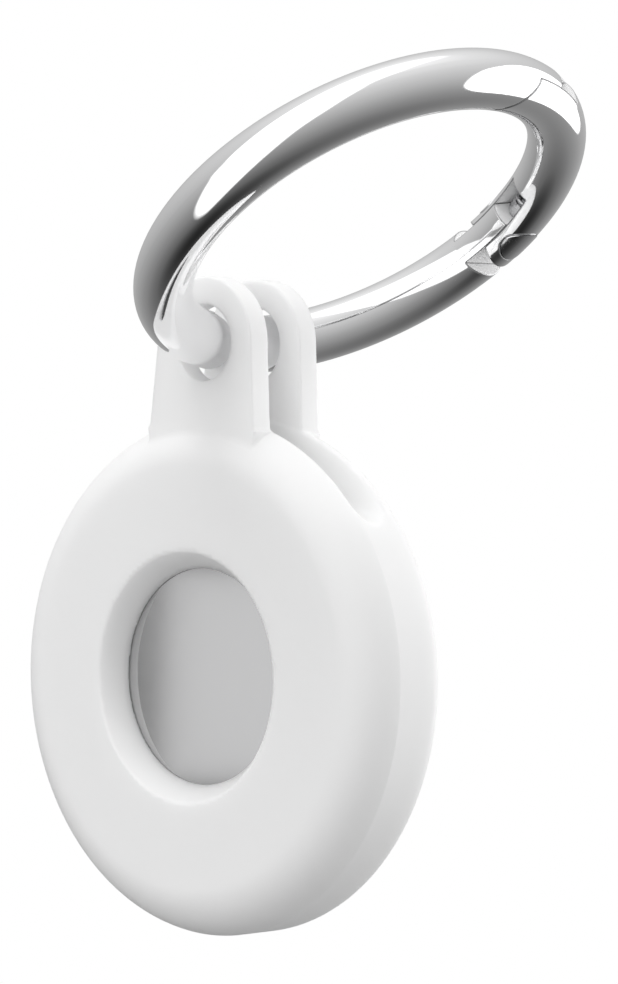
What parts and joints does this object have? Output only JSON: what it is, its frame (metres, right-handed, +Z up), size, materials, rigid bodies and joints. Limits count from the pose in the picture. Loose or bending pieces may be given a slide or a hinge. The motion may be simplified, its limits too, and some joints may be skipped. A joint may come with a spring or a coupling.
{
  "type": "tracker tag key holder",
  "caption": "Silicone sleeve holding a coin-shaped tracker tag behind a round window, hung by two tabs on a polished ring with a sprung gate.",
  "frame": {"origin": "the hang point: the inner surface of the ring at its highest point as pictured, where a key ring or loop carries it", "axes": "+Z up, +Y from the window to the back of the sleeve, +X towards the side that the ring leans to"},
  "size_m": [0.0468, 0.0357, 0.0655],
  "materials": {
    "silicone": "satin white silicone",
    "ring_steel": "polished, mirror bright",
    "pin_steel": "polished, flush with the ring",
    "plunger_steel": "turned steel",
    "spring_steel": "drawn spring wire",
    "shell_plastic": "gloss white",
    "frame_plastic": "moulded, off-white",
    "cover_steel": "bright, finely satin steel",
    "seal_rubber": "black",
    "cell_steel": "bare can",
    "contact_metal": "plated sheet",
    "board": "green solder resist",
    "chip": "black moulding",
    "shield_steel": "tinned sheet",
    "antenna_copper": "copper foil",
    "magnet": "nickel plated",
    "pole_steel": "plain plate",
    "coil_copper": "enamelled winding"
  },
  "bodies": {
    "ring": {"ring_body": "ring_steel"},
    "gate": {"ring_gate": "ring_steel", "gate_hinge_pin": "pin_steel", "gate_spring": "spring_steel"},
    "plunger": {"gate_plunger": "plunger_steel"},
    "holder": {"holder_sleeve": "silicone", "tag_shell": "shell_plastic", "tag_inner_frame": "frame_plastic", "cover_seal": "seal_rubber", "coin_battery": "cell_steel", "battery_contact_negative": "contact_metal", "battery_contacts_positive": "contact_metal", "circuit_board": "board", "board_chips": "chip", "radio_shield": "shield_steel", "antenna_band": "antenna_copper", "speaker_magnet": "magnet", "speaker_pole_plate": "pole_steel", "speaker_coil": "coil_copper"},
    "battery_cover": {"tag_battery_cover": "cover_steel"}
  },
  "joints": [
    {"name": "gate_swing", "type": "hinge", "parent": "ring", "child": "gate", "pos_m": [-0.01027, 0.01569, -0.00774], "axis": [0.6018, 0, -0.7986], "range_deg": [0, 28], "stiffness_Nm_per_rad": 0.03, "springref_deg": -11.46},
    {"name": "plunger_slide", "type": "slide", "parent": "gate", "child": "plunger", "axis": [0.7756, -0.2385, 0.5844], "range_m": [0, 0.0008], "deforming": ["gate_spring"]},
    {"name": "holder_swing", "type": "hinge", "parent": "ring", "child": "holder", "pos_m": [-0.02336, 0, -0.0176], "axis": [0, 1, 0], "range_deg": [-67, 173]},
    {"name": "cover_turn", "type": "hinge", "parent": "holder", "child": "battery_cover", "pos_m": [-0.02336, 0, -0.04265], "axis": [0, -1, 0], "range_deg": [0, 20]}
  ],
  "couplings": [
    {"joint": "plunger_slide", "follows": "gate_swing", "m_per_rad": 0.0014324}
  ]
}
